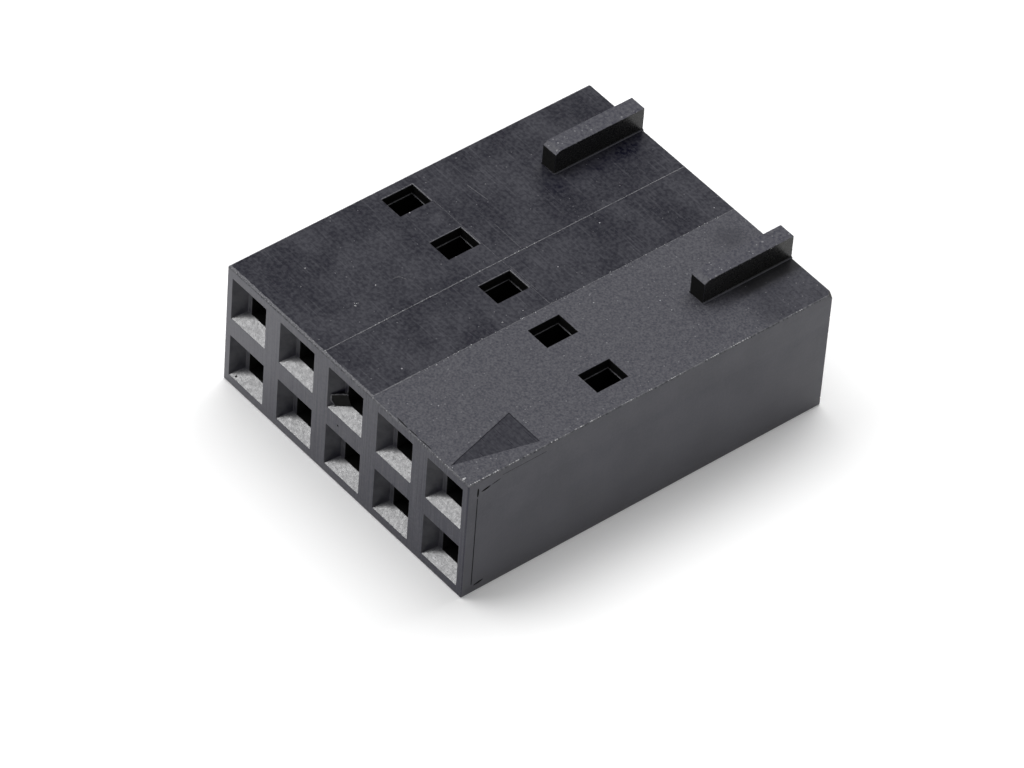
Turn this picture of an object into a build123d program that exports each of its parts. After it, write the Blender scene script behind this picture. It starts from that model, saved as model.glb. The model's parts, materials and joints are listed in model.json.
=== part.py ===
from build123d import *
import os

# Ten-position housing for crimped terminals: two rows of five positions, moulded in one piece.
# The mating face looks along -Y, the wires leave along +Y, and the two ribs stand on the top, +Z.
# The origin is the middle of the underside. All lengths are in millimetres.

# Grid of positions
PITCH = 2.54
COLUMNS = 5
ROWS = 2

# Lead-in of each position: an even funnel, then the pin hole between two flat lands
MOUTH_SIZE = 1.79
FUNNEL_DEPTH = 0.46
LAND_WIDTH = 0.18
PIN_HOLE_WIDTH = 0.80
PIN_HOLE_HEIGHT = 1.16

# Terminal cavity behind the pin hole, open at the rear
STOP_WALL = 0.90
CAVITY_WIDTH = 1.75
CAVITY_HEIGHT = 1.70
ENTRY_CHAMFER = 0.09

# Body around the grid
BODY_LENGTH = 15.24
SIDE_WALL = 0.275
OUTER_WALL = 0.36
EDGE_RADIUS = 0.05

# Locking window of each position: it stands to one side of the pin hole
WINDOW_WIDTH = 1.00
WINDOW_LENGTH = 1.30
WINDOW_SETBACK = 6.02
WINDOW_OFFSET = 0.245
LEDGE_WIDTH = 0.03

# Keying ribs on the top, flush with the rear face
RIB_WIDTH = 0.66
RIB_HEIGHT = 0.95
RIB_LENGTH = 3.80
RIB_PITCHES_APART = 3
RIB_NOSE_LENGTH = 0.20
RIB_NOSE_DROP = 0.12
RIB_FOOT_RADIUS = 0.05

# Triangular mark beside position one
MARK_LENGTH = 3.00
MARK_WIDTH = 1.58
MARK_SETBACK = 0.14
MARK_OFFSET = 0.09
MARK_DEPTH = 0.03

# Shallow panel that the slides of the mould leave on each side: its long borders slope away to nothing
PANEL_DEPTH = 0.02
PANEL_SETBACK = 0.42
PANEL_MARGIN = 0.40
PANEL_SLOPE = 0.90

# Overlap of a cutter past the face that it opens
OVERRUN = 1.0

# Sizes that follow
BODY_WIDTH = (COLUMNS - 1) * PITCH + MOUTH_SIZE + 2 * SIDE_WALL
BODY_HEIGHT = (ROWS - 1) * PITCH + MOUTH_SIZE + 2 * OUTER_WALL
FRONT = -BODY_LENGTH / 2
REAR = BODY_LENGTH / 2
CAVITY_FRONT = FRONT + FUNNEL_DEPTH + STOP_WALL
CEILING_WALL = OUTER_WALL + (MOUTH_SIZE - CAVITY_HEIGHT) / 2


def column_x(column):
    """Distance of a column from the middle plane, column 0 being the leftmost."""
    return (column - (COLUMNS - 1) / 2) * PITCH


def front_plane(y):
    """Plane across the length at y, its own axes being X and Z, looking to the rear."""
    return Plane(origin=(0, y, 0), x_dir=(1, 0, 0), z_dir=(0, -1, 0))


def tunnel(width, height, start, end):
    """Straight rectangular passage along the length."""
    section = front_plane(start) * Rectangle(width, height)
    return extrude(section, amount=-(end - start))


def tapered_tunnel(width_a, height_a, start, width_b, height_b, end):
    """Rectangular passage whose four walls slope evenly from one end to the other."""
    near = front_plane(start) * Rectangle(width_a, height_a)
    far = front_plane(end) * Rectangle(width_b, height_b)
    return loft([near.face(), far.face()])


def lead_in():
    """Funnel of the mating face, then the hole that the pin passes, with a flat land left and right."""
    funnel = tapered_tunnel(
        MOUTH_SIZE, MOUTH_SIZE, FRONT,
        PIN_HOLE_WIDTH + 2 * LAND_WIDTH, PIN_HOLE_HEIGHT, FRONT + FUNNEL_DEPTH,
    )
    hole = tunnel(PIN_HOLE_WIDTH, PIN_HOLE_HEIGHT, FRONT, CAVITY_FRONT + OVERRUN)
    return funnel + hole


def terminal_cavity():
    """Room of the crimped terminal with the chamfered entry at the rear."""
    room = tunnel(CAVITY_WIDTH, CAVITY_HEIGHT, CAVITY_FRONT, REAR + OVERRUN)
    entry = tapered_tunnel(
        CAVITY_WIDTH, CAVITY_HEIGHT, REAR - ENTRY_CHAMFER,
        CAVITY_WIDTH + 2 * ENTRY_CHAMFER, CAVITY_HEIGHT + 2 * ENTRY_CHAMFER, REAR,
    )
    return room + entry


def locking_window():
    """Window above the cavity: straight walls down to a narrow sloped ledge at the ceiling."""
    middle_y = FRONT + WINDOW_SETBACK + WINDOW_LENGTH / 2
    ceiling = CAVITY_HEIGHT / 2
    outside = ceiling + CEILING_WALL
    shelf = Plane((-WINDOW_OFFSET, middle_y, ceiling + LEDGE_WIDTH))
    sill = Plane((-WINDOW_OFFSET, middle_y, ceiling))
    opening = Rectangle(WINDOW_WIDTH, WINDOW_LENGTH)
    narrowed = Rectangle(WINDOW_WIDTH - 2 * LEDGE_WIDTH, WINDOW_LENGTH - 2 * LEDGE_WIDTH)
    straight = extrude(shelf * opening, amount=outside - ceiling - LEDGE_WIDTH + OVERRUN)
    ledge = loft([(sill * narrowed).face(), (shelf * opening).face()])
    throat = extrude(sill * narrowed, amount=-OVERRUN / 2)
    return straight + ledge + throat


def positions():
    """All passages and windows. The lower row is the upper one turned half a turn about the length."""
    upper = lead_in() + terminal_cavity() + locking_window()
    lower = Rot(0, 180, 0) * upper
    cutters = []
    for column in range(COLUMNS):
        for row, shape in enumerate((lower, upper)):
            height = BODY_HEIGHT / 2 + (row - 0.5) * PITCH
            cutters.append(Pos(column_x(column), 0, height) * shape)
    return cutters


def body_block():
    """Outer block with its small moulded edge radius."""
    block = Pos(0, 0, BODY_HEIGHT / 2) * Box(BODY_WIDTH, BODY_LENGTH, BODY_HEIGHT)
    return fillet(block.edges(), EDGE_RADIUS)


def rib():
    """Keying rib: a flared foot across, and a low sloped nose at its front end."""
    half = RIB_WIDTH / 2
    foot = half + RIB_FOOT_RADIUS
    section = make_face(
        Polyline((-half, RIB_FOOT_RADIUS), (-half, RIB_HEIGHT), (half, RIB_HEIGHT), (half, RIB_FOOT_RADIUS))
        + RadiusArc((half, RIB_FOOT_RADIUS), (foot, 0), RIB_FOOT_RADIUS)
        + Polyline((foot, 0), (foot, -OUTER_WALL / 2), (-foot, -OUTER_WALL / 2), (-foot, 0))
        + RadiusArc((-foot, 0), (-half, RIB_FOOT_RADIUS), RIB_FOOT_RADIUS)
    )
    bar = extrude(front_plane(REAR) * section, amount=RIB_LENGTH)
    front = bar.faces().sort_by(Axis.Y)[0]
    top_front = front.edges().sort_by(Axis.Z)[-1]
    return Pos(0, 0, BODY_HEIGHT) * chamfer(top_front, RIB_NOSE_DROP, RIB_NOSE_LENGTH, reference=front)


def ribs():
    """The pair of ribs, the same distance either side of the middle."""
    reach = RIB_PITCHES_APART * PITCH / 2
    return [Pos(side * reach, 0, 0) * rib() for side in (-1, 1)]


def position_one_mark():
    """Shallow triangle that points at the mouth of position one."""
    tip_y = FRONT + MARK_SETBACK
    base_y = tip_y + MARK_LENGTH
    middle = column_x(COLUMNS - 1) + MARK_OFFSET
    outline = Polyline(
        (middle, tip_y), (middle + MARK_WIDTH / 2, base_y), (middle - MARK_WIDTH / 2, base_y), close=True
    )
    sheet = Plane((0, 0, BODY_HEIGHT)) * make_face(outline)
    return extrude(sheet, amount=-MARK_DEPTH)


def side_panels():
    """Shallow relief on both sides, which runs out at the rear."""
    length = BODY_LENGTH - PANEL_SETBACK + OVERRUN
    surface = BODY_WIDTH / 2
    low = PANEL_MARGIN
    high = BODY_HEIGHT - PANEL_MARGIN
    section = Polyline(
        (surface, low), (surface - PANEL_DEPTH, low + PANEL_SLOPE),
        (surface - PANEL_DEPTH, high - PANEL_SLOPE), (surface, high),
        (surface + OVERRUN, high), (surface + OVERRUN, low), close=True,
    )
    panel = extrude(front_plane(FRONT + PANEL_SETBACK) * make_face(section), amount=-length)
    return [panel, mirror(panel, Plane.YZ)]


def housing():
    """The whole moulding."""
    shape = body_block() + ribs()
    shape = shape - side_panels()
    shape = shape - position_one_mark()
    return shape - positions()


os.makedirs("parts", exist_ok=True)
export_step(housing(), "parts/housing.step")
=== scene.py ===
"""Finish and studio of a two-row housing for crimped terminals, laid out as an add-on."""
import json
import math
import random

import bpy
from bpy.props import FloatProperty, FloatVectorProperty, IntProperty, PointerProperty
from bpy.types import Operator, Panel, PropertyGroup
from mathutils import Matrix, Vector


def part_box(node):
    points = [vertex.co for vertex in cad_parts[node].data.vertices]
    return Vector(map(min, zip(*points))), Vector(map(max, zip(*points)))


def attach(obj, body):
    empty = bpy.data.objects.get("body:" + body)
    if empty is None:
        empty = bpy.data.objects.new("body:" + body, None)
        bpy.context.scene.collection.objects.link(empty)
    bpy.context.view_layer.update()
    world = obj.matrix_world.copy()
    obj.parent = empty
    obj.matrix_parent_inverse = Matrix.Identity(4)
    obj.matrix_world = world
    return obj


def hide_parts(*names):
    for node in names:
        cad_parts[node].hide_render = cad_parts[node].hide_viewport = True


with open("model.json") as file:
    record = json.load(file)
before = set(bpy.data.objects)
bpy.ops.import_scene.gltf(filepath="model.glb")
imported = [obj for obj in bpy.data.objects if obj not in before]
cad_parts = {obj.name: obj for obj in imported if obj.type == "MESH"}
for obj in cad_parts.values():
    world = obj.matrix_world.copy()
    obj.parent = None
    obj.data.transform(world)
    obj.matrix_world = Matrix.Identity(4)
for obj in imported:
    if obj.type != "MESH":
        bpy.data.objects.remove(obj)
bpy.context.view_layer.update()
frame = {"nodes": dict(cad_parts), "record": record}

bl_info = {
    "name": "Crimp Terminal Housing",
    "version": (1, 0, 0),
    "blender": (4, 5, 0),
    "location": "View3D > Sidebar > Housing",
    "description": "Adds the finish of a moulded two-row connector housing, and a plain studio around it",
    "category": "Object",
}

MM = 0.001

# Places read from the frame
LOW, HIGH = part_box("housing")
MOUNTS = {mount["name"]: mount for mount in frame["record"]["mounts"]}
TOP = MOUNTS["keying_ribs"]["pos_m"][2]
MIDDLE = TOP / 2
FRONT = LOW.y
REAR = HIGH.y
HALF_WIDTH = HIGH.x

# Smallest gap that separates two vertices, and the slack used when a face is looked up by its place
MERGE_GAP = 0.001 * MM
SLACK = 0.004 * MM

# Distances that tell the faces and edges of the moulding apart
BODY_ROUNDING = 0.06 * MM
SOFTENED_MARGIN = 0.12 * MM
PASSAGE_DEPTH = 0.20 * MM
LEDGE_TOP = 0.36 * MM
LEDGE_FOOT = 0.42 * MM
NEAR_TOP = 0.10 * MM
MARK_STEP = 0.035 * MM
MARK_REACH = 3.5 * MM
NARROW_FACE = 0.02 * MM

# How far a surface turns inside a flat face, at a sharp edge, and at most where it is shaded smooth
FLAT_TURN = math.radians(0.5)
SHARP_TURN = math.radians(30)
SMOOTH_TURN = math.radians(50)

# Least part of a face's normal along an axis, for a face that is flat, that looks that way or that leans so
FLAT = 0.998
FACING = 0.9
UPWARD = 0.6
LEANING = 0.3

X_AXIS = (1, 0, 0)
Z_AXIS = (0, 0, 1)


def length_setting(name, description, millimetres):
    """A length that the user can set."""
    return FloatProperty(
        name=name, description=description, default=millimetres * MM, unit="LENGTH", precision=6)


def colour_setting(name, description, shade):
    """A colour that the user can set."""
    return FloatVectorProperty(
        name=name, description=description, default=(*shade, 1.0), subtype="COLOR", size=4, min=0, max=1)


class HousingLayout(PropertyGroup):
    """Where the features of the moulding are."""

    pitch: length_setting("Pitch", "Distance between positions, both ways", 2.54)
    columns: IntProperty(name="Columns", description="Positions in one row", default=5, min=1)
    mouth_size: length_setting("Mouth", "Side of the square mouths in the front", 1.79)
    funnel_depth: length_setting("Funnel depth", "Depth of the sloped lead-in behind each mouth", 0.46)
    window_width: length_setting("Window width", "Width of the locking windows", 1.00)
    window_length: length_setting("Window length", "Length of the locking windows", 1.30)
    window_setback: length_setting("Window setback", "From the front to the windows", 6.02)
    window_offset: length_setting(
        "Window offset", "How far the windows stand to the left of their positions", 0.245)
    rib_reach: length_setting("Rib reach", "From the middle plane to each rib's middle", 3.81)
    insert_edge: length_setting(
        "Insert edge", "From the middle plane to where two inserts of the mould meet", 1.27)
    cross_line: length_setting(
        "Cross line", "From the front to the line that the inserts leave across the top", 7.40)


class HousingFinish(PropertyGroup):
    """Colours and surface of the black plastic."""

    plastic: colour_setting("Plastic", "Colour of the moulding", (0.0020, 0.0020, 0.0080))
    # Deep plastic is lighter than the plastic itself: painted light in the holes and cavities, which the
    # lamps leave darker
    deep: colour_setting("Deep plastic", "Colour inside the holes and cavities", (0.0095, 0.0095, 0.0093))
    haze: colour_setting("Haze", "Colour of handled and scratched patches", (0.040, 0.040, 0.049))
    grain_low: colour_setting(
        "Grain hollows", "Colour between the pebbles of the grain", (0.030, 0.030, 0.040))
    grain_high: colour_setting("Grain peaks", "Colour on the pebbles of the grain", (0.084, 0.084, 0.094))
    wall_low: colour_setting(
        "Walls, clean", "Colour of the cleanest parts of the other faces", (0.016, 0.016, 0.028))
    wall_high: colour_setting(
        "Walls, handled", "Colour of the handled parts of the other faces", (0.044, 0.044, 0.058))
    glitter: colour_setting("Grain glitter", "Colour of the brightest pebbles", (0.145, 0.145, 0.155))
    scuff_low: colour_setting(
        "Front, clean", "Colour of the cleanest parts of the front", (0.006, 0.006, 0.020))
    # Towards -X the front takes more of the scuffed colour, as a painted reflection of the brighter floor
    # there
    scuff_high: colour_setting(
        "Front, scuffed", "Colour of the scuffed parts of the front", (0.080, 0.080, 0.096))
    # Worn, torn and crumb are also painted highlights: on edges, ledges, flash and crumbs they stand partly
    # for the light that these catch
    worn: colour_setting("Worn edge", "Colour of flash, nicks and stressed edges", (0.040, 0.040, 0.048))
    torn: colour_setting("Torn edge", "Colour of the palest parts of the flash", (0.165, 0.165, 0.175))
    crumb: colour_setting("Crumbs", "Colour of the crumbs of flash", (0.40, 0.40, 0.41))
    dust: colour_setting("Dust", "Colour of the dust specks", (0.30, 0.30, 0.32))
    edge_radius: length_setting("Edge radius", "Radius of the mouths', windows' and ribs' edges", 0.012)
    polished: FloatProperty(
        name="Polished roughness", description="Roughness of the polished part of the top",
        default=0.27, subtype="FACTOR", min=0, max=1)
    grained: FloatProperty(
        name="Grained roughness", description="Roughness of the fine-grained part of the top",
        default=0.50, subtype="FACTOR", min=0, max=1)
    grain_size: length_setting("Grain size", "Size of the fine grain", 0.075)


class StudioSettings(PropertyGroup):
    """Camera, lights and floor."""

    azimuth: FloatProperty(
        name="Azimuth", description="Turn of the camera about the vertical, 0 looking along +Y",
        default=math.radians(47.788), subtype="ANGLE")
    elevation: FloatProperty(
        name="Elevation", description="Height of the camera above the horizon",
        default=math.radians(44.004), subtype="ANGLE")
    roll: FloatProperty(
        name="Roll", description="Turn of the camera about its own line of sight",
        default=math.radians(4.562), subtype="ANGLE")
    distance: length_setting("Distance", "From the camera to the object", 238.66)
    lens: FloatProperty(name="Lens", description="Focal length in millimetres", default=256.41)
    pan: FloatVectorProperty(
        name="Pan", description="How far the object is moved to the right and up in the picture", size=2,
        default=(0.477 * MM, 1.583 * MM), unit="LENGTH", precision=6)
    lamp_distance: length_setting("Lamp distance", "From the object to each soft box", 300)
    overhead_direction: FloatVectorProperty(
        name="Overhead direction", description="Direction of the overhead soft box", size=3,
        default=(-0.34, 0.12, 0.90))
    overhead_size: FloatVectorProperty(
        name="Overhead size", description="Length and width of the overhead soft box", size=2,
        default=(0.60, 0.20), unit="LENGTH")
    overhead_power: FloatProperty(
        name="Overhead power", description="Power of the overhead soft box in watts", default=1.50)
    glint_direction: FloatVectorProperty(
        name="Glint direction", description="Direction of the small soft box that the lead-ins mirror",
        size=3, default=(-0.533, -0.473, 0.701))
    glint_side: length_setting("Glint size", "Side of the small soft box", 120)
    glint_power: FloatProperty(
        name="Glint power", description="Power of the small soft box in watts", default=0.61)
    sky: FloatProperty(
        name="Sky", description="Strength of the white surround on matt surfaces", default=0.26)
    floor_colour: colour_setting("Floor", "Colour of the floor", (0.90, 0.90, 0.90))
    floor_glow: FloatProperty(
        name="Floor white", description="White added to the floor as the camera sees it", default=0.13)
    floor_gap: length_setting(
        "Floor gap", "How far the floor lies below the underside, so the two never coincide", 0.008)


def deselect_all():
    """Leaves nothing selected, in object mode."""
    if bpy.context.object and bpy.context.object.mode != "OBJECT":
        bpy.ops.object.mode_set(mode="OBJECT")
    bpy.ops.object.select_all(action="DESELECT")


def make_active(piece):
    """Selects one piece and nothing else."""
    deselect_all()
    piece.select_set(True)
    bpy.context.view_layer.objects.active = piece


def edit(piece, part="FACE"):
    """Opens a piece in edit mode, with vertices, edges or faces as the select mode."""
    make_active(piece)
    bpy.context.tool_settings.mesh_select_mode = (part == "VERT", part == "EDGE", part == "FACE")
    bpy.ops.object.mode_set(mode="EDIT")


def edit_all(piece, part="FACE"):
    """Opens a piece in edit mode with all of it selected."""
    edit(piece, part)
    bpy.ops.mesh.select_all(action="SELECT")


def leave_edit():
    """Goes back to object mode."""
    bpy.ops.object.mode_set(mode="OBJECT")


def apply_modifier(piece, kind, **settings):
    """Adds a modifier with its settings and applies it."""
    make_active(piece)
    bpy.ops.object.modifier_add(type=kind)
    modifier = piece.modifiers[-1]
    for name, value in settings.items():
        setattr(modifier, name, value)
    bpy.ops.object.modifier_apply(modifier=modifier.name)


def settle(piece, name):
    """Names a finished piece, applies its place to its mesh and puts it on the frame."""
    make_active(piece)
    bpy.ops.object.transform_apply(location=True, rotation=True, scale=True)
    piece.name = name
    piece.data.name = name
    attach(piece, "root")
    return piece


class Nodes:
    """A shader tree, and the steps that are laid in it."""

    def __init__(self, tree):
        self.tree = tree

    def fill(self, sockets, values):
        """Fills sockets with plain values, or with links from other nodes."""
        for name, value in values.items():
            if isinstance(value, bpy.types.NodeSocket):
                self.tree.links.new(value, sockets[name])
            else:
                sockets[name].default_value = value

    def add(self, kind, inputs=None, **settings):
        """Adds a node, sets it up and fills its sockets."""
        made = self.tree.nodes.new(kind)
        for name, value in settings.items():
            setattr(made, name, value)
        self.fill(made.inputs, inputs or {})
        return made

    def math(self, operation, first, second=0.0, third=0.0):
        """One step of arithmetic."""
        return self.add("ShaderNodeMath", {0: first, 1: second, 2: third}, operation=operation).outputs[0]

    def times(self, first, second):
        """The product of two values."""
        return self.math("MULTIPLY", first, second)

    def total(self, start, *parts):
        """A start value, and each further value times its weight."""
        for value, weight in parts:
            start = self.math("MULTIPLY_ADD", value, weight, start)
        return start

    def between(self, value, low, high, start=0.0, end=1.0, kind="LINEAR"):
        """Maps a value's range from low to high on the range from start to end."""
        mapped = self.add(
            "ShaderNodeMapRange",
            {"Value": value, "From Min": low, "From Max": high, "To Min": start, "To Max": end},
            interpolation_type=kind)
        return mapped.outputs["Result"]

    def mix_values(self, share, first, second):
        """Goes from the first value to the second as the share goes from 0 to 1."""
        return self.add("ShaderNodeMix", {0: share, 2: first, 3: second}, data_type="FLOAT").outputs[0]

    def mix_colours(self, share, first, second):
        """Goes from the first colour to the second as the share goes from 0 to 1."""
        return self.add("ShaderNodeMix", {0: share, 6: first, 7: second}, data_type="RGBA").outputs[2]

    def vector_math(self, operation, inputs):
        """One step of arithmetic on vectors."""
        return self.add("ShaderNodeVectorMath", inputs, operation=operation).outputs

    def in_steps(self, vector, size):
        """Coordinates counted in steps of the given size."""
        return self.vector_math("SCALE", {0: vector, "Scale": self.math("DIVIDE", 1.0, size)})[0]

    def noise(self, vector, detail, roughness):
        """Uneven values around a half, one swell to a step."""
        inputs = {"Vector": vector, "Scale": 1.0, "Detail": detail, "Roughness": roughness}
        return self.add("ShaderNodeTexNoise", inputs).outputs[0]

    def seen(self):
        """1 where the camera or a reflection looks, and 0 where light falls."""
        rays = self.add("ShaderNodeLightPath").outputs
        mirrored = self.math("MAXIMUM", rays["Is Glossy Ray"], rays["Is Transmission Ray"])
        return self.math("MAXIMUM", rays["Is Camera Ray"], mirrored)


def emptied(owner):
    """The cleared shader tree of a new material or world."""
    owner.use_nodes = True
    owner.node_tree.nodes.clear()
    return owner.node_tree


def new_group(name, inputs, outputs):
    """The nodes, inputs and outputs of a new shader group. An input without a default is a vector."""
    tree = bpy.data.node_groups.new(name, "ShaderNodeTree")
    for label, default in inputs.items():
        kind = "NodeSocketVector" if default is None else "NodeSocketFloat"
        socket = tree.interface.new_socket(label, in_out="INPUT", socket_type=kind)
        if default is not None:
            socket.default_value = default
    for label in outputs:
        tree.interface.new_socket(label, in_out="OUTPUT", socket_type="NodeSocketFloat")
    return Nodes(tree), tree.nodes.new("NodeGroupInput").outputs, tree.nodes.new("NodeGroupOutput").inputs


def grain_group():
    """Even pebbled grain, as eroded into a mould."""
    nodes, inputs, outputs = new_group(
        "Moulded grain", {"Vector": None, "Size": 0.1 * MM, "Detail": 2.0}, ["Height"])
    pebbles = nodes.noise(nodes.in_steps(inputs["Vector"], inputs["Size"]), inputs["Detail"], 0.6)
    nodes.fill(outputs, {"Height": nodes.between(pebbles, 0.3, 0.7)})
    return nodes.tree


def tool_marks_group():
    """Long fine marks that run along one axis, with a few deep scratches among them."""
    nodes, inputs, outputs = new_group(
        "Tool marks", {"Vector": None, "Along": None, "Width": 0.04 * MM, "Length": 1.5 * MM},
        ["Height", "Scratch"])
    width = inputs["Width"]
    stretch = nodes.math("SUBTRACT", inputs["Length"], width)
    longer = nodes.vector_math("SCALE", {0: inputs["Along"], "Scale": stretch})[0]
    even = nodes.add("ShaderNodeCombineXYZ", {"X": width, "Y": width, "Z": width}).outputs[0]
    size = nodes.vector_math("ADD", {0: even, 1: longer})[0]
    marks = nodes.noise(nodes.vector_math("DIVIDE", {0: inputs["Vector"], 1: size})[0], 2.0, 0.5)
    nodes.fill(outputs, {
        "Height": nodes.between(marks, 0.25, 0.75),
        "Scratch": nodes.between(marks, 0.62, 0.74)})
    return nodes.tree


def specks_group():
    """Scattered round specks of uneven size."""
    nodes, inputs, outputs = new_group(
        "Specks", {"Vector": None, "Spacing": 0.5 * MM, "Size": 0.03 * MM, "Share": 0.2}, ["Mask"])
    spacing = inputs["Spacing"]
    steps = nodes.in_steps(inputs["Vector"], spacing)
    cells = nodes.add("ShaderNodeTexVoronoi", {"Vector": steps, "Scale": 1.0}).outputs
    chances = nodes.add("ShaderNodeSeparateColor", {0: cells["Color"]}).outputs
    radius = nodes.times(inputs["Size"], nodes.math("ADD", chances[1], 0.35))
    inside = nodes.math("LESS_THAN", nodes.times(cells["Distance"], spacing), radius)
    chosen = nodes.math("LESS_THAN", chances[0], inputs["Share"])
    nodes.fill(outputs, {"Mask": nodes.times(inside, chosen)})
    return nodes.tree


def clouds_group():
    """Soft uneven patches, as fingers and flow leave them."""
    nodes, inputs, outputs = new_group(
        "Clouds", {"Vector": None, "Size": 1.5 * MM, "Offset": 0.0}, ["Mask"])
    steps = nodes.in_steps(inputs["Vector"], inputs["Size"])
    patches = nodes.noise(nodes.vector_math("ADD", {0: steps, 1: inputs["Offset"]})[0], 4.0, 0.55)
    nodes.fill(outputs, {"Mask": nodes.between(patches, 0.33, 0.67, kind="SMOOTHSTEP")})
    return nodes.tree


GROUP_BUILDERS = {
    "Moulded grain": grain_group,
    "Tool marks": tool_marks_group,
    "Specks": specks_group,
    "Clouds": clouds_group,
}


class Skin(Nodes):
    """One finish of the plastic: its material, and the effects that are drawn on it in millimetres."""

    def __init__(self, name):
        self.material = bpy.data.materials.new(name)
        super().__init__(emptied(self.material))
        shader = self.add("ShaderNodeBsdfPrincipled", {"IOR": 1.50})
        self.add("ShaderNodeOutputMaterial", {"Surface": shader.outputs[0]})
        self.sockets = shader.inputs
        self.place = self.add("ShaderNodeTexCoord").outputs["Object"]

    def effect(self, name, values):
        """Places a shared shader group, which is built at its first use."""
        group = bpy.data.node_groups.get(name) or GROUP_BUILDERS[name]()
        return self.add("ShaderNodeGroup", {"Vector": self.place, **values}, node_tree=group).outputs

    def grain(self, size, detail=2.0):
        """Height of the moulded grain."""
        return self.effect("Moulded grain", {"Size": size * MM, "Detail": detail})["Height"]

    def marks(self, along, width, length):
        """Height of the tool marks, and the scratches among them."""
        values = {"Along": along, "Width": width * MM, "Length": length * MM}
        outputs = self.effect("Tool marks", values)
        return outputs["Height"], outputs["Scratch"]

    def specked(self, colour, speck, spacing, size, share):
        """The colour with scattered specks of another colour on it."""
        values = {"Spacing": spacing * MM, "Size": size * MM, "Share": share}
        return self.mix_colours(self.effect("Specks", values)["Mask"], colour, speck)

    def clouds(self, size, offset=0.0):
        """Mask of soft patches."""
        return self.effect("Clouds", {"Size": size * MM, "Offset": offset})["Mask"]

    def spot(self, x, y, far, near, share):
        """A soft round spot of the top: the share inside the near radius, and nothing past the far one."""
        away = self.vector_math("DISTANCE", {0: self.place, 1: on_top(x, y)})["Value"]
        return self.between(away, far * MM, near * MM, 0.0, share, kind="SMOOTHSTEP")

    def axes(self):
        """The three coordinates of the object."""
        return self.add("ShaderNodeSeparateXYZ", {0: self.place}).outputs

    def paint(self, colour, roughness, specular, relief=None, depth=0.0):
        """Fills the plastic's sockets, with a relief from 0 to 1 of the given depth."""
        self.fill(self.sockets, {
            "Base Color": colour, "Roughness": roughness, "Specular IOR Level": specular})
        if relief is not None:
            bump = self.add("ShaderNodeBump", {"Height": relief, "Strength": 1.0, "Distance": depth * MM})
            self.fill(self.sockets, {"Normal": bump.outputs[0]})
        return self.material


def ready(make, finish):
    """The material that a function makes, made at its first use only and named like the function."""
    return bpy.data.materials.get(make.__name__) or make(finish)


def top_skin(layout, finish):
    """The top: polished with marks across it, and fine-grained beyond the edge of the mould's insert."""
    skin = Skin("top_skin")
    x, y, _ = skin.axes()

    # Grained beyond an uneven edge, apart from a spot polished by rubbing, and apart from painted shade of
    # the right rib: a spot, and a band along its foot
    edge = skin.total(x, (skin.grain(0.16), 0.05 * MM))
    line = layout.insert_edge + 0.025 * MM
    grained = skin.between(edge, line - 0.012 * MM, line + 0.012 * MM)
    aside = skin.math("ABSOLUTE", skin.math("SUBTRACT", x, layout.rib_reach + 0.57 * MM))
    rib_shade = skin.times(
        skin.between(aside, 0.62 * MM, 0.16 * MM, kind="SMOOTHSTEP"),
        skin.between(y, REAR - 4.1 * MM, REAR - 1.8 * MM, kind="SMOOTHSTEP"))
    rub_and_painted_light = skin.times(rib_shade, 0.92)
    # The first spot is painted shade of the right rib, on its right; the second is polished by rubbing
    for x_at, y_at, far, near, share in ((5.5, 14.14, 2.3, 0.9, 0.65), (2.2, 14.19, 0.85, 0.15, 0.55)):
        rub_and_painted_light = skin.math("MAXIMUM", rub_and_painted_light, skin.spot(x_at, y_at, far, near, share))
    grained = skin.times(grained, skin.math("SUBTRACT", 1.0, rub_and_painted_light))

    marks, scratches = skin.marks(X_AXIS, 0.060, 1.3)
    grain = skin.grain(finish.grain_size / MM)
    patches = skin.clouds(1.5)
    roughness = skin.mix_values(
        grained,
        skin.total(finish.polished, (patches, 0.08)),
        skin.total(finish.grained - 0.03, (grain, 0.06)))
    relief = skin.mix_values(grained, skin.times(marks, 0.14), skin.times(grain, 0.6))

    smudge = skin.spot(-4.02, 6.95, 0.42, 0.05, 0.40)
    mottle = skin.clouds(0.13, 5.0)
    haze = skin.total(
        -0.19, (patches, 0.42), (mottle, 0.54), (marks, 0.27), (scratches, 0.42), (smudge, 1.0))
    smooth = skin.mix_colours(haze, finish.plastic, finish.haze)
    # Painted shade of the right rib: the band along its foot goes darker still, towards the deep colour
    smooth = skin.mix_colours(skin.times(rib_shade, 0.85), smooth, finish.deep)
    smooth = skin.specked(smooth, finish.glitter, 0.12, 0.016, 0.10)
    pebbled = skin.mix_colours(grain, finish.grain_low, finish.grain_high)
    pebbled = skin.specked(pebbled, finish.glitter, 0.12, 0.022, 0.16)
    colour = skin.specked(skin.mix_colours(grained, smooth, pebbled), finish.dust, 0.40, 0.020, 0.13)
    return skin.paint(colour, roughness, 0.22, relief, 0.010)


def mark_skin(finish):
    """The floor of the triangular mark, which is polished."""
    skin = Skin("mark_skin")
    marks, _ = skin.marks(X_AXIS, 0.05, 0.8)
    share = skin.total(0.0, (skin.clouds(0.14, 2.0), 0.4), (marks, 0.25))
    colour = skin.mix_colours(share, finish.plastic, finish.haze)
    return skin.paint(colour, skin.total(0.26, (marks, 0.10)), 0.28, marks, 0.001)


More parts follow.
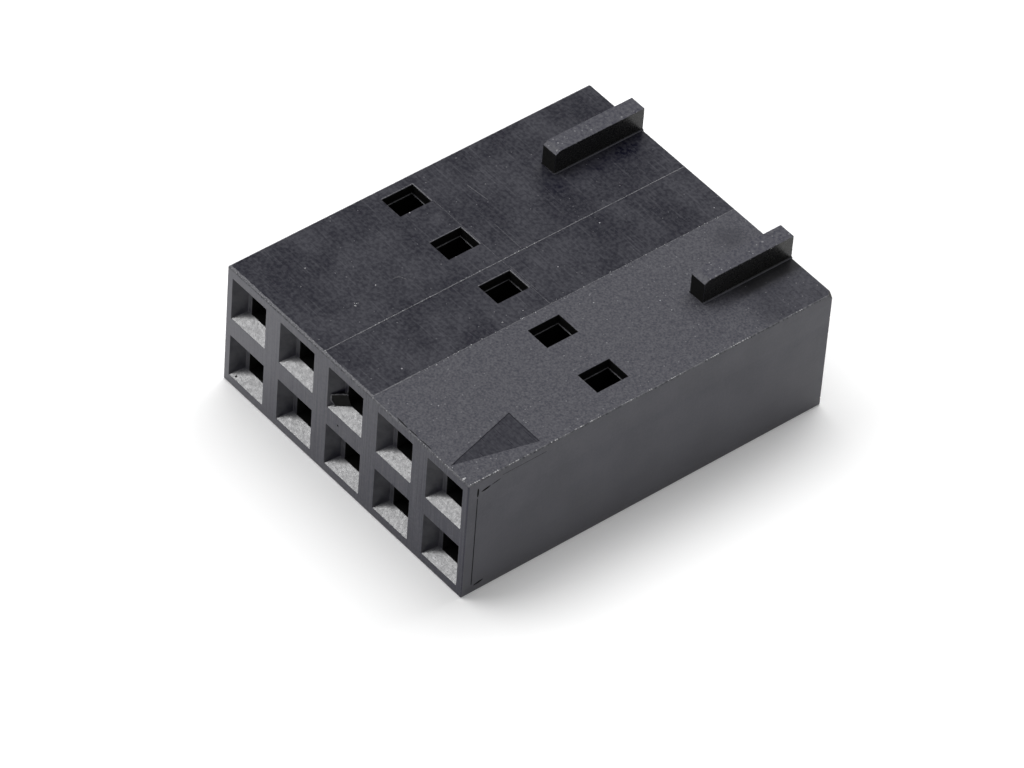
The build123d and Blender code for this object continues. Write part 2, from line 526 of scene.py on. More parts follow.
def satin(name, finish, low, high, streaks, painted_left_reflection, rub_and_painted_light):
    """Satin plastic between two colours, with upright streaks.

    Of the last two arguments, the first is how far it pales towards -X, a painted reflection of the
    brighter floor on that side, and the second how far the lower part pales: painted light that evens out
    the darker floor which the lower part mirrors.
    """
    skin = Skin(name)
    x, _, z = skin.axes()
    marks, _ = skin.marks(Z_AXIS, 0.06, 4.0)
    grain = skin.grain(0.09)
    patches = skin.clouds(1.6, 3.0)
    # Painted reflection: lighter towards -X, where the face mirrors the brighter floor
    paler = skin.between(x, HALF_WIDTH, -HALF_WIDTH, -painted_left_reflection, painted_left_reflection)
    share = skin.total(paler, (patches, 0.8 - streaks), (marks, streaks), (grain, 0.28))
    colour = skin.mix_colours(share, low, high)
    # Painted light: the lower part goes over to a lighter colour, against the shaded floor that it mirrors
    colour = skin.mix_colours(skin.between(z, 0.7 * TOP, 0.0, 0.0, rub_and_painted_light), colour, finish.grain_high)
    colour = skin.specked(colour, finish.dust, 0.7, 0.022, 0.05)
    relief = skin.total(0.0, (marks, streaks), (grain, 0.35))
    return skin.paint(colour, skin.total(0.33, (patches, 0.07)), 0.42, relief, 0.002)


def wall_skin(finish):
    """Sides, rear and underside, with painted light on the lower part."""
    return satin("wall_skin", finish, finish.wall_low, finish.wall_high, 0.12, 0.0, 0.65)


def front_skin(finish):
    """The mating face: scuffed a little by use, and lighter towards -X as a painted reflection of the
    brighter floor there.
    """
    return satin("front_skin", finish, finish.scuff_low, finish.scuff_high, 0.65, 0.55, 0.0)


def edge_skin(finish):
    """The top's rounded edges and the windows' ledges: matt, and pale partly from wear and partly as a
    painted highlight of the light that they catch.
    """
    skin = Skin("edge_skin")
    grain = skin.grain(0.10, 4.0)
    colour = skin.mix_colours(grain, finish.worn, finish.torn)
    return skin.paint(colour, skin.total(0.45, (grain, 0.15)), 0.12, grain, 0.006)


def lead_in_side_skin(finish):
    """The upright walls of the lead-ins and the lands next to the pin holes, which came out smooth."""
    skin = Skin("lead_in_side_skin")
    share = skin.times(skin.clouds(0.5, 7.0), 0.5)
    return skin.paint(skin.mix_colours(share, finish.plastic, finish.haze), 0.30, 0.36)


def lead_in_skin(layout, finish):
    """The sloped floors and ceilings of the lead-ins: mottled, marked across, and with painted shade in one
    corner.
    """
    skin = Skin("lead_in_skin")
    x, y, _ = skin.axes()
    # Painted shade: darker and rougher towards the back left-hand corner by the land, where the side wall
    # shades the floor
    across = skin.math("FLOORED_MODULO", skin.math("ADD", x, layout.mouth_size / 2), layout.pitch)
    inward = skin.between(y, FRONT, FRONT + layout.funnel_depth)
    corner = skin.math("SUBTRACT", inward, skin.math("DIVIDE", across, 0.9 * MM))
    corner_shade = skin.between(corner, 0.0, 0.60, kind="SMOOTHSTEP")
    mottle = skin.clouds(0.12, 11.0)
    marks, _ = skin.marks(X_AXIS, 0.035, 0.45)
    relief = skin.total(0.0, (skin.grain(0.085, 3.0), 0.68), (marks, 0.32))
    share = skin.times(
        skin.total(0.0, (mottle, 0.20), (skin.between(relief, 0.25, 0.75), 0.40)),
        skin.total(1.0, (corner_shade, -0.7)))
    colour = skin.mix_colours(share, finish.plastic, finish.torn)
    return skin.paint(colour, skin.total(0.24, (mottle, 0.12), (corner_shade, 0.45)), 0.5, relief, 0.0050)


def rib_skin(finish):
    """Tops and noses of the ribs, torn a little as they left the mould."""
    skin = Skin("rib_skin")
    grain = skin.grain(0.12, 4.0)
    colour = skin.mix_colours(grain, finish.wall_low, finish.grain_high)
    colour = skin.specked(colour, finish.torn, 0.12, 0.028, 0.30)
    return skin.paint(colour, skin.total(0.40, (grain, 0.16)), 0.25, grain, 0.012)


def rib_side_skin(finish):
    """The sides of the ribs, as smooth as the polished top that they mirror."""
    skin = Skin("rib_side_skin")
    grain = skin.grain(0.12)
    return skin.paint(finish.deep, skin.total(0.24, (grain, 0.10)), 0.3, grain, 0.001)


def cavity_skin(finish):
    """Everything that little light reaches: windows, holes and cavities, the ribs' fronts and the sheet of
    painted shade, in a colour lighter than the plastic that paints some light into them.
    """
    skin = Skin("cavity_skin")
    grain = skin.grain(0.12)
    return skin.paint(finish.deep, skin.total(0.30, (grain, 0.10)), 0.05, grain, 0.002)


def worn_and_highlight_skin(finish):
    """Flash and scratches: matt, and lighter than the plastic around them, partly from wear and partly as a
    painted highlight of the light that their ridges catch.
    """
    skin = Skin("worn_and_highlight_skin")
    grain = skin.grain(0.05)
    colour = skin.mix_colours(grain, finish.worn, finish.torn)
    return skin.paint(colour, skin.total(0.40, (grain, 0.15)), 0.25)


def crumb_and_glint_skin(finish):
    """Crumbs of torn plastic and specks of dust, the palest of all; along the edges the crumbs also paint
    the dotted highlights that the ragged edges catch.
    """
    skin = Skin("crumb_and_glint_skin")
    return skin.paint(finish.crumb, skin.total(0.40, (skin.grain(0.05), 0.20)), 0.5)


def merged_copy(node):
    """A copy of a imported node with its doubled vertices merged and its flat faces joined."""
    source = frame["nodes"][node]
    piece = bpy.data.objects.new(node + "_dressed", source.data.copy())
    bpy.context.scene.collection.objects.link(piece)
    edit_all(piece)
    bpy.ops.mesh.remove_doubles(threshold=MERGE_GAP)
    bpy.ops.mesh.customdata_custom_splitnormals_clear()
    bpy.ops.mesh.dissolve_limited(angle_limit=FLAT_TURN)
    leave_edit()
    return piece


def edge_turns(mesh):
    """The angle that the surface turns through at each edge."""
    faces_of = {}
    for face in mesh.polygons:
        for key in face.edge_keys:
            faces_of.setdefault(key, []).append(face.normal)
    turns = []
    for edge in mesh.edges:
        normals = faces_of.get(edge.key, [])
        turns.append(normals[0].angle(normals[1], 0.0) if len(normals) == 2 else 0.0)
    return turns


def is_softened(ends):
    """Tells if an edge belongs to a mouth, window, passage or rib, and not to the body's own rounding."""
    low, high, side = SOFTENED_MARGIN, TOP - SOFTENED_MARGIN, HALF_WIDTH - SOFTENED_MARGIN
    between_sides = all(abs(co.x) < side for co in ends)
    inside = between_sides and all(low < co.z < high for co in ends)
    on_the_top = between_sides and all(
        co.y < REAR - SOFTENED_MARGIN and co.z > TOP - SLACK for co in ends)
    on_rib = all(co.z > TOP + SOFTENED_MARGIN for co in ends)
    return inside or on_the_top or on_rib


def soften_edges(piece, radius):
    """Rounds the sharp edges of the mouths, windows, passages and ribs."""
    mesh = piece.data
    weights = mesh.attributes.new("bevel_weight_edge", "FLOAT", "EDGE")
    for edge, turn in zip(mesh.edges, edge_turns(mesh)):
        ends = [mesh.vertices[index].co for index in edge.vertices]
        sharp = turn > SHARP_TURN and is_softened(ends)
        weights.data[edge.index].value = 1.0 if sharp else 0.0
    apply_modifier(
        piece, "BEVEL", width=radius, segments=2, limit_method="WEIGHT", use_clamp_overlap=False)


def smooth_shading(piece):
    """Smooth rounded edges, with the broad faces between them kept flat."""
    make_active(piece)
    bpy.ops.object.shade_smooth_by_angle(angle=SMOOTH_TURN)
    mesh = piece.data
    for face in mesh.polygons:
        corners = [mesh.vertices[index].co for index in face.vertices]
        around = sum((a - b).length for a, b in zip(corners, corners[1:] + corners[:1]))
        if 2 * face.area / around > NARROW_FACE:
            face.use_smooth = False


def skin_of(face, crest, layout, edge_radius):
    """Names the finish of one face, by where it lies and where it looks. Crest is its highest point."""
    centre, normal = face.center, face.normal
    depth = min(centre.z, TOP - centre.z)
    lead_in_end = FRONT + layout.funnel_depth
    window_middle = FRONT + layout.window_setback + layout.window_length / 2
    by_windows = abs(centre.y - window_middle) < layout.window_length / 2 + SLACK
    in_columns = abs(centre.x) < HALF_WIDTH - layout.mouth_size * 0.1
    in_passage = in_columns and PASSAGE_DEPTH < depth
    in_window = in_columns and edge_radius + SLACK < depth and abs(normal.z) < 0.5
    rounded = max(abs(value) for value in normal) < FLAT
    at_border = abs(centre.x) > HALF_WIDTH - BODY_ROUNDING or centre.y < FRONT + BODY_ROUNDING
    body_edge = rounded and at_border
    if centre.z > TOP + NEAR_TOP and normal.z > LEANING:
        return "rib"
    if centre.z > TOP + NEAR_TOP and abs(normal.x) > FACING:
        return "rib_side"
    if crest > TOP + NEAR_TOP and normal.y < -FACING:
        return "cavity"
    # The windows' ledges take the edge skin, whose pale colour is partly a painted highlight of the light
    # they catch
    if LEANING < abs(normal.z) < 0.95 and LEDGE_TOP < depth < LEDGE_FOOT and by_windows:
        return "edge"
    if body_edge and centre.z > TOP - BODY_ROUNDING:
        return "edge"
    if normal.z > UPWARD and centre.z > TOP - SLACK:
        return "top"
    if normal.z > UPWARD and centre.z > TOP - NEAR_TOP:
        return "mark"
    if centre.z > TOP - MARK_STEP and centre.y < FRONT + MARK_REACH:
        return "top"
    if centre.y < FRONT + SLACK or body_edge and not in_passage and normal.y < -0.35:
        return "front"
    if normal.y < -FACING and centre.y < lead_in_end + SLACK:
        return "lead_in_side"
    if in_passage and centre.y < lead_in_end - SLACK:
        return "lead_in" if abs(normal.z) > 0.5 else "lead_in_side"
    if (in_passage or in_window) and lead_in_end < centre.y < REAR - SLACK:
        return "cavity"
    return "wall"


def dress_moulding(piece, layout, finish):
    """Gives each face of the moulding its finish."""
    skins = {
        "wall": wall_skin(finish),
        "front": front_skin(finish),
        "edge": edge_skin(finish),
        "top": top_skin(layout, finish),
        "mark": mark_skin(finish),
        "lead_in": lead_in_skin(layout, finish),
        "lead_in_side": lead_in_side_skin(finish),
        "rib": rib_skin(finish),
        "rib_side": rib_side_skin(finish),
        "cavity": ready(cavity_skin, finish),
    }
    order = list(skins)
    mesh = piece.data
    mesh.materials.clear()
    for material in skins.values():
        mesh.materials.append(material)
    for face in mesh.polygons:
        crest = max(mesh.vertices[index].co.z for index in face.vertices)
        face.material_index = order.index(skin_of(face, crest, layout, finish.edge_radius))


# The makers below take points in metres, as on_top and on_side give them, and sizes in millimetres

def on_top(x, y, rise=0.0):
    """A point of the top, in millimetres: x from the middle plane and y from the front."""
    return (x * MM, FRONT + y * MM, TOP + rise * MM)


def on_side(y, z):
    """A point of the +X side, in millimetres: y from the front and z from the underside."""
    return (HALF_WIDTH, FRONT + y * MM, z * MM)


def column_x(layout, column):
    """Distance of a column from the middle plane."""
    return (column - (layout.columns - 1) / 2) * layout.pitch


def lay(piece, start, end, normal):
    """Lays a piece made along X between two points of a surface, its Z along the surface's normal."""
    along = (end - start).normalized()
    across = normal.normalized().cross(along).normalized()
    piece.matrix_world = (
        Matrix.Translation((start + end) / 2)
        @ Matrix((along, across, along.cross(across))).transposed().to_4x4())
    return piece


def strip(start, end, normal, width, height, steps, seed):
    """A thin uneven strip of flash from one point to another, half sunk in the surface."""
    start, end, normal = Vector(start), Vector(end), Vector(normal)
    width, height = width * MM, height * MM
    wander = 0.22 * width
    deselect_all()
    bpy.ops.mesh.primitive_grid_add(x_subdivisions=steps, y_subdivisions=2, size=1.0)
    piece = bpy.context.object
    edit_all(piece, "VERT")
    bpy.ops.transform.resize(value=((end - start).length, width, 1.0))
    bpy.ops.transform.vertex_random(offset=wander, uniform=0.3, seed=seed)
    bpy.ops.transform.resize(value=(1.0, 1.0, 1.4 * height / wander), center_override=(0, 0, 0))
    leave_edit()
    apply_modifier(piece, "SOLIDIFY", thickness=2 * height, offset=0.0)
    return lay(piece, start, end, normal)


def top_strip(start, end, width, height, steps, seed):
    """A strip of flash between two points of the top."""
    return strip(on_top(*start), on_top(*end), Z_AXIS, width, height, steps, seed)


def chain(points, normal, width, height, seed):
    """Strips that follow a line of points."""
    return [
        strip(start, end, normal, width, height, 6, seed + index)
        for index, (start, end) in enumerate(zip(points, points[1:]))]


def gouge(start, end, normal, width, depth, seed):
    """A cutter for one nick: a long uneven lump, half sunk in the surface."""
    start, end, normal = Vector(start), Vector(end), Vector(normal)
    deselect_all()
    bpy.ops.mesh.primitive_ico_sphere_add(subdivisions=3, radius=0.5)
    piece = bpy.context.object
    edit_all(piece, "VERT")
    bpy.ops.transform.vertex_random(offset=0.04, uniform=0.3, seed=seed)
    bpy.ops.transform.resize(
        value=((end - start).length, width * MM, 2 * depth * MM), center_override=(0, 0, 0))
    leave_edit()
    return lay(piece, start, end, normal)


def block(centre, size, facing=Z_AXIS):
    """A plain box cutter, its top looking the way it is told."""
    deselect_all()
    turn = Vector(facing).to_track_quat("Z", "Y").to_euler()
    bpy.ops.mesh.primitive_cube_add(size=1.0, location=centre, rotation=turn)
    piece = bpy.context.object
    piece.scale = [side * MM for side in size]
    return piece


def film(corners, thickness):
    """A thin sheet between four corners, the lower two and then the upper two, used to paint a patch of
    shade.
    """
    deselect_all()
    bpy.ops.mesh.primitive_plane_add(size=0.5 * MM)
    piece = bpy.context.object
    for index, corner in enumerate(corners):
        edit(piece, "VERT")
        bpy.ops.mesh.select_all(action="DESELECT")
        leave_edit()
        piece.data.vertices[index].select = True
        move = Vector(corner) - piece.data.vertices[index].co
        edit(piece, "VERT")
        bpy.ops.transform.translate(value=move)
        leave_edit()
    apply_modifier(piece, "SOLIDIFY", thickness=thickness * MM, offset=0.0)
    return piece


def crumbs(places, seed):
    """Small lumps, each half sunk in the surface at its point and of its own radius."""
    deselect_all()
    first, radius = places[0]
    bpy.ops.mesh.primitive_ico_sphere_add(subdivisions=1, radius=radius * MM, location=first)
    piece = bpy.context.object
    bpy.ops.object.transform_apply(location=True, rotation=True, scale=True)
    edit(piece, "VERT")
    for point, size in places[1:]:
        bpy.ops.mesh.primitive_ico_sphere_add(subdivisions=1, radius=size * MM, location=point)
    bpy.ops.mesh.select_all(action="SELECT")
    bpy.ops.transform.vertex_random(offset=0.25 * radius * MM, uniform=0.5, seed=seed)
    leave_edit()
    return piece


def join_all(pieces):
    """Joins pieces into the first of them."""
    deselect_all()
    for piece in pieces:
        piece.select_set(True)
    bpy.context.view_layer.objects.active = pieces[0]
    if len(pieces) > 1:
        bpy.ops.object.join()
    return pieces[0]


def finish_pieces(pieces, name, skin):
    """Joins pieces into one, gives it its skin and sets it on the frame."""
    piece = join_all(pieces)
    piece.data.materials.clear()
    piece.data.materials.append(skin)
    return settle(piece, name)


def nick_cutters(layout):
    """Cutters of the +X side's seam and groove, and of the nicks, the chip and the pits."""
    low = MIDDLE - layout.pitch / 2 - layout.mouth_size / 2
    cutters = [
        block(on_side(0.402, 2.33), (0.032, 0.035, 3.90)),
        block((HALF_WIDTH, FRONT + 2.30 * MM, TOP - 0.27 * MM), (0.012, 1.80, 0.014)),
    ]
    nicks = (
        (on_side(0.41, 4.34), on_side(0.41, 4.74), X_AXIS, 0.085, 0.045, 61),
        (on_side(0.55, 4.50), on_side(0.92, 4.58), X_AXIS, 0.085, 0.040, 62),
        (on_side(0.96, 4.59), on_side(1.34, 4.66), X_AXIS, 0.035, 0.016, 67),
        (on_side(0.50, 0.30), on_side(0.90, 0.37), X_AXIS, 0.080, 0.036, 63),
        (on_top(2.46, 0.10), on_top(3.05, 0.07), Z_AXIS, 0.045, 0.020, 64),
        (on_top(3.12, 0.08), on_top(3.55, 0.09), Z_AXIS, 0.040, 0.018, 65),
        (on_top(3.68, 0.08), on_top(4.25, 0.09), Z_AXIS, 0.035, 0.016, 68),
    )
    cutters += [gouge(*nick) for nick in nicks]
    chip = Vector((1.0, 1.0, 0.8)).normalized()
    cutters.append(block(Vector((HALF_WIDTH, REAR, TOP)) + chip * 0.07 * MM, (0.40, 0.40, 0.40), chip))
    pits = [
        ((-0.30 * MM, FRONT, MIDDLE), 0.040),
        ((-HALF_WIDTH, FRONT, 1.25 * MM), 0.060),
        ((-5.70 * MM, FRONT + 0.10 * MM, low + 0.07 * MM), 0.045),
    ]
    pits += [
        ((HALF_WIDTH, REAR, height * MM), radius)
        for height, radius in ((0.30, 0.070), (2.10, 0.045), (3.20, 0.050), (3.95, 0.060))]
    return cutters + [crumbs(pits, 66)]


def cut_nicks(piece, layout):
    """Cuts the nicks, pits and chip of the photographed part."""
    cutter = join_all(nick_cutters(layout))
    cutter.data.materials.append(bpy.data.materials["cavity_skin"])
    before = len(piece.data.polygons)
    apply_modifier(
        piece, "BOOLEAN", object=cutter, operation="DIFFERENCE", solver="EXACT", material_mode="TRANSFER")
    if len(piece.data.polygons) < before:
        raise RuntimeError("The nicks could not be cut")
    make_active(cutter)
    bpy.ops.object.delete()


def fleck_crumbs():
    """The torn fleck at the top's front right-hand corner."""
    return [
        (on_top(5.90, 0.050, -0.022), 0.036),
        (on_top(5.90, 0.075, 0.004), 0.045),
        (on_top(5.89, 0.11, 0.004), 0.040),
        (on_top(5.88, 0.15, 0.004), 0.026),
        (on_top(5.28, 0.11), 0.022),
    ]


def edge_crumbs(chance, side):
    """Crumbs in clusters along the top's right-hand edge, and a thin row along its front edge: flash that
    also paints the dotted highlights of these edges.
    """
    places = []
    for middle, spread, count, scale in (
            (0.32, 0.14, 11, 1.3), (0.78, 0.20, 10, 1.2), (1.10, 0.08, 4, 1.2), (1.90, 0.10, 7, 1.0),
            (3.2, 0.8, 12, 1.0), (4.55, 0.10, 8, 1.0), (5.20, 0.15, 8, 1.0), (6.4, 0.5, 8, 1.0),
            (7.50, 0.10, 7, 1.0), (8.40, 0.14, 8, 1.0), (10.10, 0.16, 9, 1.0), (11.05, 0.16, 9, 1.0),
            (11.50, 0.12, 6, 1.0), (13.60, 0.20, 6, 1.0)):
        for _ in range(count):
            y = min(max(chance.gauss(middle, spread), 0.10), 14.9)
            size = scale * chance.uniform(0.012, 0.026)
            places.append((on_top(side - (scale - 1.0) * 0.030, y, -0.4 * size), size))
    for _ in range(80):
        x = HALF_WIDTH / MM * (2 * chance.random() ** 1.5 - 1)
        size = chance.uniform(0.008, 0.020)
        places.append((on_top(max(min(x, side), -side), 0.030, -0.010), size))
    return places


def strewn_specks():
    """The specks that lie singly on the top, and one cluster of them."""
    single = (
        (3.40, 6.22), (1.03, 5.59), (0.99, 6.48), (3.78, 10.43), (2.03, 8.58), (-4.69, 1.96),
        (-2.73, 3.33), (-4.09, 1.32), (1.33, 2.63), (-1.85, 0.09), (-1.19, 0.11))
    cluster = (
        (-2.36, 2.19, 0.030), (-2.33, 2.21, 0.022), (-2.45, 2.26, 0.018), (-2.42, 2.30, 0.018),
        (-2.40, 2.35, 0.015))
    return [(on_top(x, y), 0.024) for x, y in single] + [(on_top(x, y), size) for x, y, size in cluster]


def rib_crumbs(chance, layout):
    """Crumbs along the upper +X edge of each rib, most of them on the right-hand one, which also paint the
    dotted highlights of these edges.
    """
    places = []
    for rib, count in ((-1, 14), (1, 60)):
        for _ in range(count):
            along = REAR - chance.uniform(0.1, 3.5) * MM
            size = chance.uniform(0.010, 0.020)
            places.append(((rib * layout.rib_reach + 0.315 * MM, along, HIGH.z - 0.030 * MM), size))
    return places


def line_crumbs(chance, edge):
    """Crumbs on the two long witness lines, which also paint the dotted highlights of these lines."""
    places = []
    for _ in range(34):
        size = chance.uniform(0.012, 0.026)
        places.append((on_top(-edge, chance.uniform(0.1, 9.0)), size))
    for _ in range(46):
        size = chance.uniform(0.009, 0.020)
        x = edge + chance.uniform(-0.03, 0.03)
        places.append((on_top(x, chance.uniform(0.1, 14.9)), size))
    return places


class HOUSING_OT_add_moulding(Operator):
    """Dress the moulding: soften its edges and give each of its surfaces the finish of the mould"""

    bl_idname = "housing.add_moulding"
    bl_label = "Add Moulding"

    def execute(self, context):
        scene = context.scene
        piece = merged_copy("housing")
        soften_edges(piece, scene.housing_finish.edge_radius)
        dress_moulding(piece, scene.housing_layout, scene.housing_finish)
        cut_nicks(piece, scene.housing_layout)
        smooth_shading(piece)
        settle(piece, "moulding")
        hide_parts("housing")
        return {"FINISHED"}


class HOUSING_OT_add_witness_lines(Operator):
    """Add the faint lines that the joints between the mould's inserts leave on the top"""

    bl_idname = "housing.add_witness_lines"
    bl_label = "Add Witness Lines"

    def execute(self, context):
        layout = context.scene.housing_layout
        edge, cross = layout.insert_edge / MM, layout.cross_line / MM
        rear = (REAR - FRONT) / MM - 0.06
        lines = (
            ((-edge, 0.06), (-edge, rear), 0.032, 0.005, 260),
            ((edge, 0.06), (edge, 2.0), 0.045, 0.006, 40),
            ((edge, 2.0), (edge, rear), 0.018, 0.003, 200),
            ((-4.8, cross), (edge, cross), 0.008, 0.0010, 90),
            ((-0.9, cross + 0.07), (0.5, cross + 0.07), 0.008, 0.0010, 24),
            ((-6.18, 0.07), (edge, 0.07), 0.085, 0.004, 160),
        )
        pieces = [top_strip(*line, seed) for seed, line in enumerate(lines, 1)]
        finish_pieces(pieces, "witness_lines", ready(worn_and_highlight_skin, context.scene.housing_finish))
        return {"FINISHED"}


class HOUSING_OT_add_window_rims(Operator):
    """Add the raised rims that the core pins left along two edges of the first three windows"""

    bl_idname = "housing.add_window_rims"
    bl_label = "Add Window Rims"

    def execute(self, context):
        layout = context.scene.housing_layout
        gap, width = 0.022, layout.window_width / MM
        near = layout.window_setback / MM
        far = near + layout.window_length / MM + gap
        pieces = []
        for column in range(3):
            left = (column_x(layout, column) - layout.window_offset) / MM - width / 2
            right = left + width
            pieces.append(top_strip((left - gap, near), (left - gap, far), 0.024, 0.004, 18, 10 + column))
            pieces.append(top_strip((left, far), (right, far), 0.040, 0.004, 14, 20 + column))
        finish_pieces(pieces, "window_rims", ready(worn_and_highlight_skin, context.scene.housing_finish))
        return {"FINISHED"}


class HOUSING_OT_add_scratches(Operator):
    """Add the single scratches on the top, and the burr's rim that hangs in one lead-in, with a dark sheet
    of painted shade under it
    """

    bl_idname = "housing.add_scratches"
    bl_label = "Add Scratches"

    def execute(self, context):
        layout, finish = context.scene.housing_layout, context.scene.housing_finish
        scratches = (
            ((-4.75, 8.77), (-3.77, 8.87), 0.015, 0.002, 16),
            ((-2.74, 8.32), (-1.35, 8.30), 0.008, 0.0010, 20),
        )
        pieces = [top_strip(*scratch, seed) for seed, scratch in enumerate(scratches, 31)]
        hair = [on_top(-2.65, 3.99), on_top(-2.61, 4.21), on_top(-2.36, 4.32)]
        pieces += chain(hair, Z_AXIS, 0.018, 0.004, 40)
        finish_pieces(pieces, "scratches", ready(worn_and_highlight_skin, finish))

        left = -layout.mouth_size / 2
        low = MIDDLE + (layout.pitch - layout.mouth_size) / 2
        rim = [(left + across * MM, FRONT + depth * MM, low + height * MM) for across, depth, height in (
            (0.21, 0.160, 0.13), (0.10, 0.080, 0.36), (0.09, 0.090, 0.575), (0.30, 0.262, 0.645),
            (0.50, 0.435, 0.71), (0.51, 0.435, 0.58))]
        foot = (left + 0.690 * MM, FRONT + 0.445 * MM, low + 0.33 * MM)
        strips = chain(rim, (0.62, -0.78, 0.10), 0.035, 0.012, 50)
        finish_pieces(strips, "burr_rim", ready(worn_and_highlight_skin, finish))
        # Painted shade: a dark sheet on the lead-in's wall under the burr's rim, where the rim shades the
        # wall
        sheet = film((rim[0], foot, rim[2], rim[4]), 0.008)
        finish_pieces([sheet], "burr_shade_sheet", ready(cavity_skin, finish))
        return {"FINISHED"}


class HOUSING_OT_add_crumbs(Operator):
    """Add the crumbs of flash along the edges of the top, which also paint their dotted highlights, and the
    specks strewn over it
    """

    bl_idname = "housing.add_crumbs"
    bl_label = "Add Crumbs"

    def execute(self, context):
        layout = context.scene.housing_layout
        chance = random.Random(7)
        places = fleck_crumbs()
        places += edge_crumbs(chance, HALF_WIDTH / MM - 0.032)
        places += strewn_specks()
        places += rib_crumbs(chance, layout)
        places += line_crumbs(chance, layout.insert_edge / MM)
        finish_pieces([crumbs(places, 8)], "crumbs", crumb_and_glint_skin(context.scene.housing_finish))
        return {"FINISHED"}


def add_world(studio):
    """A white surround, at full strength in the picture and in reflections, and softer as light."""
    world = bpy.data.worlds.new("white_surround")
    bpy.context.scene.world = world
    nodes = Nodes(emptied(world))
    strength = nodes.mix_values(nodes.seen(), studio.sky, 1.0)
    background = nodes.add("ShaderNodeBackground", {"Color": (1.0, 1.0, 1.0, 1.0), "Strength": strength})
    nodes.add("ShaderNodeOutputWorld", {"Surface": background.outputs[0]})


def add_floor(studio):
    """A plain pale floor that keeps the object's shadow and fades to white, and is clear from below."""
    deselect_all()
    bpy.ops.mesh.primitive_plane_add(size=3.0, location=(0, 0, -studio.floor_gap))
    floor = bpy.context.object
    floor.name = "floor"
    material = bpy.data.materials.new("pale_floor")
    nodes = Nodes(emptied(material))
    glow = nodes.add("ShaderNodeEmission", {"Strength": nodes.times(nodes.seen(), studio.floor_glow)})
    paint = nodes.add("ShaderNodeBsdfDiffuse", {"Color": studio.floor_colour})
    both = nodes.add("ShaderNodeAddShader", {0: glow.outputs[0], 1: paint.outputs[0]})
    behind = nodes.add("ShaderNodeNewGeometry").outputs["Backfacing"]
    clear = nodes.add("ShaderNodeBsdfTransparent")
    surface = nodes.add("ShaderNodeMixShader", {0: behind, 1: both.outputs[0], 2: clear.outputs[0]})
    nodes.add("ShaderNodeOutputMaterial", {"Surface": surface.outputs[0]})
    floor.data.materials.append(material)


def add_soft_box(name, direction, distance, size, power):
    """A rectangular soft box, turned to the object."""
    deselect_all()
    direction = Vector(direction).normalized()
    turn = direction.to_track_quat("Z", "Y").to_euler()
    bpy.ops.object.light_add(type="AREA", location=direction * distance, rotation=turn)
    light = bpy.context.object
    light.name = name
    light.data.shape = "RECTANGLE"
    light.data.size, light.data.size_y = size
    light.data.energy = power
    return light


def add_lights(studio):
    """A soft box overhead that gives the floor its shadow, and a small one that glints in the lead-ins."""
    overhead = add_soft_box(
        "overhead_box", studio.overhead_direction, studio.lamp_distance, studio.overhead_size,
        studio.overhead_power)
    overhead.visible_glossy = False
    glint = add_soft_box(
        "glint_box", studio.glint_direction, studio.lamp_distance, (studio.glint_side, studio.glint_side),
        studio.glint_power)
    glint.visible_diffuse = False


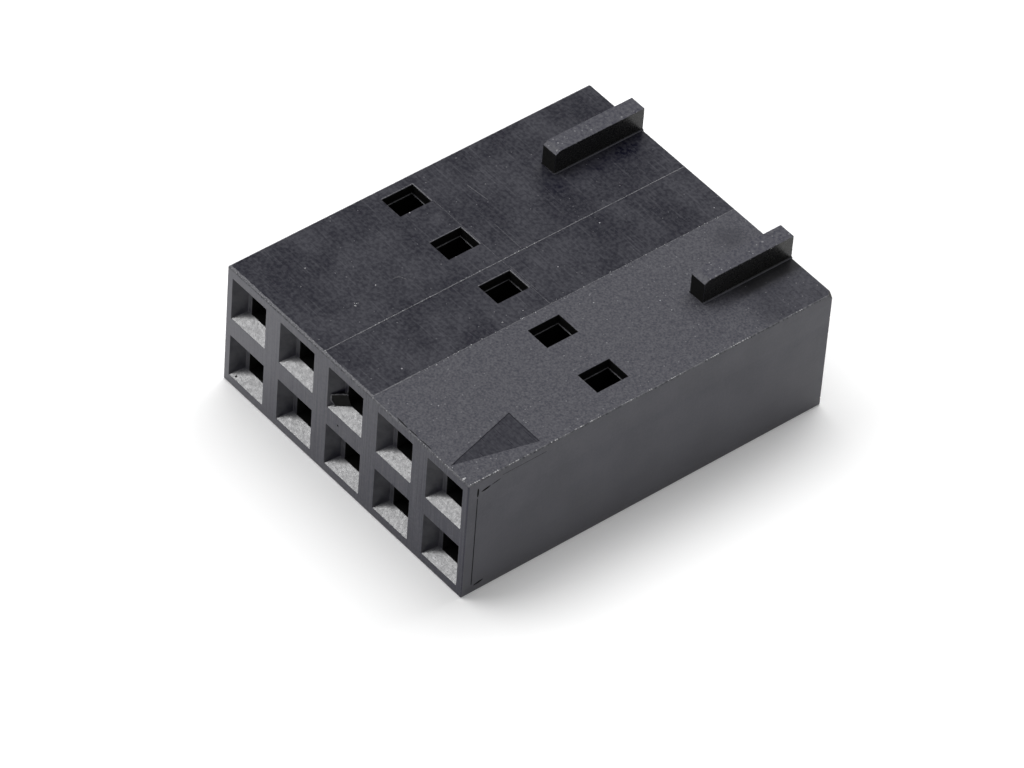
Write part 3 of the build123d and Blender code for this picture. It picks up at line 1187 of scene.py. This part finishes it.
def add_camera(studio):
    """The camera, at the angle of the photograph."""
    deselect_all()
    azimuth, elevation, roll = studio.azimuth, studio.elevation, studio.roll
    ahead = Vector((
        -math.sin(azimuth) * math.cos(elevation), math.cos(azimuth) * math.cos(elevation),
        -math.sin(elevation)))
    level = Vector((math.cos(azimuth), math.sin(azimuth), 0.0))
    upright = level.cross(ahead)
    right = level * math.cos(roll) + upright * math.sin(roll)
    up = upright * math.cos(roll) - level * math.sin(roll)
    aim = Vector((0, 0, MIDDLE)) - right * studio.pan[0] - up * studio.pan[1]
    place = aim - ahead * studio.distance
    bpy.ops.object.camera_add()
    camera = bpy.context.object
    camera.name = "camera"
    camera.matrix_world = Matrix.Translation(place) @ Matrix((right, up, -ahead)).transposed().to_4x4()
    camera.data.sensor_width = 36.0
    camera.data.lens = studio.lens
    camera.data.clip_start = 0.01
    bpy.context.scene.camera = camera


class HOUSING_OT_add_studio(Operator):
    """Add the pale floor, the white surround, the soft boxes and the camera"""

    bl_idname = "housing.add_studio"
    bl_label = "Add Studio"

    def execute(self, context):
        studio = context.scene.housing_studio
        add_world(studio)
        add_floor(studio)
        add_lights(studio)
        add_camera(studio)
        context.scene.view_settings.view_transform = "Standard"
        return {"FINISHED"}


class HOUSING_PT_panel(Panel):
    """The housing's tools in the sidebar"""

    bl_idname = "HOUSING_PT_panel"
    bl_label = "Terminal Housing"
    bl_space_type = "VIEW_3D"
    bl_region_type = "UI"
    bl_category = "Housing"

    def draw(self, context):
        layout, scene = self.layout, context.scene
        for operator in OPERATORS:
            layout.operator(operator.bl_idname)
        for settings in (scene.housing_layout, scene.housing_finish, scene.housing_studio):
            box = layout.box()
            for name in settings.__annotations__:
                box.prop(settings, name)


OPERATORS = (
    HOUSING_OT_add_moulding, HOUSING_OT_add_witness_lines, HOUSING_OT_add_window_rims,
    HOUSING_OT_add_scratches, HOUSING_OT_add_crumbs, HOUSING_OT_add_studio)
CLASSES = (HousingLayout, HousingFinish, StudioSettings, *OPERATORS, HOUSING_PT_panel)


def register():
    """Registers the classes and gives the scene its settings."""
    for cls in CLASSES:
        bpy.utils.register_class(cls)
    bpy.types.Scene.housing_layout = PointerProperty(type=HousingLayout)
    bpy.types.Scene.housing_finish = PointerProperty(type=HousingFinish)
    bpy.types.Scene.housing_studio = PointerProperty(type=StudioSettings)


def unregister():
    """Takes the settings and the classes away again."""
    del bpy.types.Scene.housing_studio
    del bpy.types.Scene.housing_finish
    del bpy.types.Scene.housing_layout
    for cls in reversed(CLASSES):
        bpy.utils.unregister_class(cls)


def main():
    """Builds everything in order."""
    register()
    bpy.ops.housing.add_moulding()
    bpy.ops.housing.add_witness_lines()
    bpy.ops.housing.add_window_rims()
    bpy.ops.housing.add_scratches()
    bpy.ops.housing.add_crumbs()
    bpy.ops.housing.add_studio()


if __name__ == "__main__":
    main()
